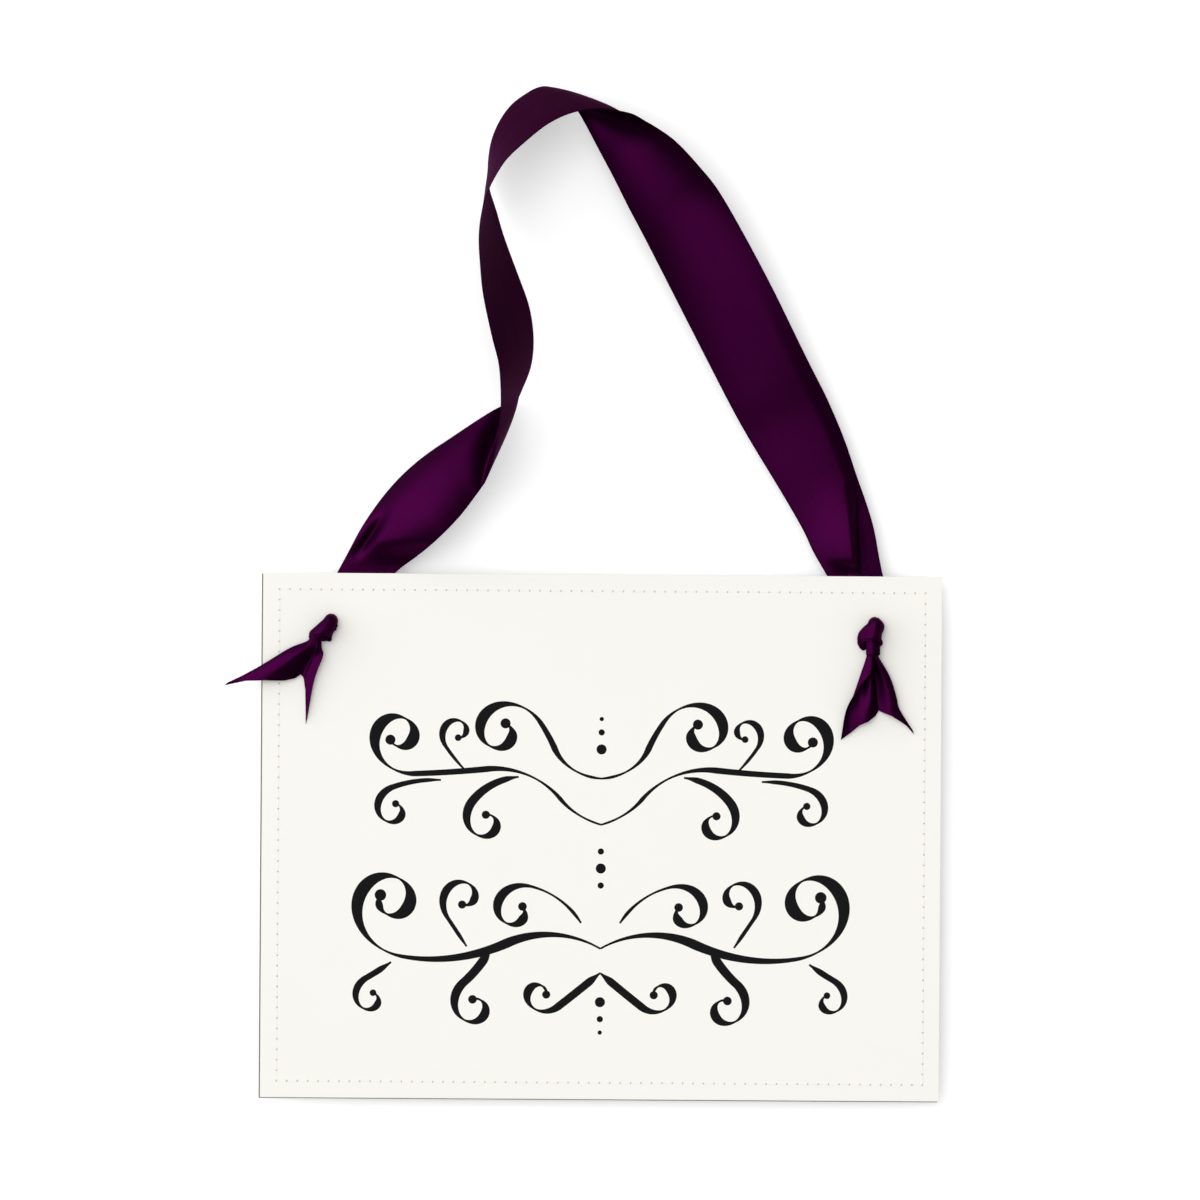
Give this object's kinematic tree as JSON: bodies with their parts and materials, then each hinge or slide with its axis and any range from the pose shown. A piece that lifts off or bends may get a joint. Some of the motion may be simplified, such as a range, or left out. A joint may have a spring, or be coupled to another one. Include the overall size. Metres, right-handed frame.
{
  "type": "hanging party sign",
  "caption": "Landscape party sign of off-white card sewn together round its edge, hung on a wide plum satin ribbon that is knotted through punched holes in its top corners.",
  "frame": {"origin": "middle of the front card's bottom edge, halfway through that card's thickness", "axes": "+X to the reader's right along the bottom edge, +Y up the card towards the ribbon, +Z out of the printed face; the sign lies on its back and the ribbon rests on the same surface"},
  "size_m": [0.2953, 0.4174, 0.0382],
  "materials": {
    "card_stock": "matt, faintly warm white",
    "sewing_thread": "matt cotton thread",
    "plum_satin": "satin weave, glossy along its folds"
  },
  "bodies": {
    "card": {"front_card": "card_stock", "back_card": "card_stock", "needle_thread": "sewing_thread", "bobbin_thread": "sewing_thread", "ribbon_back_left": "plum_satin", "ribbon_back_right": "plum_satin"},
    "hanging_loop": {"ribbon_loop": "plum_satin"},
    "knot_left": {"ribbon_knot_left": "plum_satin"},
    "knot_right": {"ribbon_knot_right": "plum_satin"},
    "tail_left": {"ribbon_tail_left": "plum_satin"},
    "tail_right": {"ribbon_tail_right": "plum_satin"}
  },
  "joints": [
    {"name": "loop_fold", "type": "hinge", "parent": "card", "child": "hanging_loop", "pos_m": [0, 0.2189, -0.00175], "axis": [1, 0, 0], "range_deg": [-120, 75]},
    {"name": "knot_left_turn", "type": "hinge", "parent": "card", "child": "knot_left", "pos_m": [-0.1117, 0.1934, 0], "axis": [0, 0, 1], "range_deg": [-20, 35]},
    {"name": "knot_right_turn", "type": "hinge", "parent": "card", "child": "knot_right", "pos_m": [0.1117, 0.1934, 0], "axis": [0, 0, 1], "range_deg": [-35, 35]},
    {"name": "tail_left_lift", "type": "hinge", "parent": "knot_left", "child": "tail_left", "pos_m": [-0.11763, 0.18632, 0.00625], "axis": [-0.8192, 0.5736, 0], "range_deg": [0, 110]},
    {"name": "tail_right_lift", "type": "hinge", "parent": "knot_right", "child": "tail_right", "pos_m": [0.1109, 0.1826, 0.00625], "axis": [-1, 0, 0], "range_deg": [0, 110]}
  ]
}
